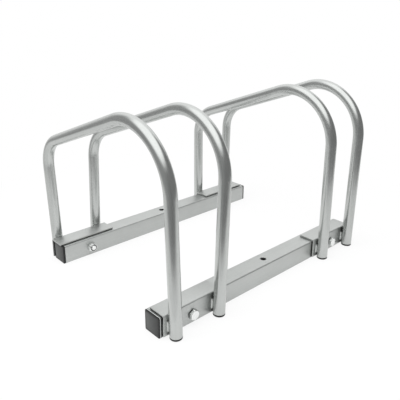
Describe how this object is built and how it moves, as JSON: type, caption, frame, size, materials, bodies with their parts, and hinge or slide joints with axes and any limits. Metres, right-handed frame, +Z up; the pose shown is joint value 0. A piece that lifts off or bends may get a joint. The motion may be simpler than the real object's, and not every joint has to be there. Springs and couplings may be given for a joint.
{
  "type": "bike rack",
  "caption": "Low floor rack for bicycles: paired bent tube hoops stand across square steel rails and hold each wheel upright between them.",
  "frame": {"origin": "On the ground, midway along the rails and midway between them.", "axes": "+X along the rails, +Y from the tall front of the hoops to their low rear, +Z up."},
  "size_m": [0.4217, 0.3245, 0.279],
  "materials": {
    "silver_paint": "satin silver-grey paint over steel",
    "bright_zinc": "bright zinc plating",
    "black_plastic": "moulded black plastic with a soft sheen",
    "black_nylon": "matt black nylon"
  },
  "bodies": {
    "root": {"front_rail": "silver_paint", "rear_rail": "silver_paint", "front_left_rail_plug": "black_plastic", "front_right_rail_plug": "black_plastic", "rear_left_rail_plug": "black_plastic", "rear_right_rail_plug": "black_plastic", "hoop_1": "silver_paint", "hoop_2": "silver_paint", "hoop_3": "silver_paint", "hoop_4": "silver_paint", "hoop_1_front_plug": "black_plastic", "hoop_1_rear_plug": "black_plastic", "hoop_2_front_plug": "black_plastic", "hoop_2_rear_plug": "black_plastic", "hoop_3_front_plug": "black_plastic", "hoop_3_rear_plug": "black_plastic", "hoop_4_front_plug": "black_plastic", "hoop_4_rear_plug": "black_plastic", "front_bracket_1": "silver_paint", "front_bracket_2": "silver_paint", "rear_bracket_1": "silver_paint", "rear_bracket_2": "silver_paint", "front_bolt_1": "bright_zinc", "front_bolt_2": "bright_zinc", "rear_bolt_1": "bright_zinc", "rear_bolt_2": "bright_zinc", "front_nut_1": "bright_zinc", "front_nut_2": "bright_zinc", "rear_nut_1": "bright_zinc", "rear_nut_2": "bright_zinc", "front_nut_1_nylon_ring": "black_nylon", "front_nut_2_nylon_ring": "black_nylon", "rear_nut_1_nylon_ring": "black_nylon", "rear_nut_2_nylon_ring": "black_nylon"}
  },
  "joints": []
}
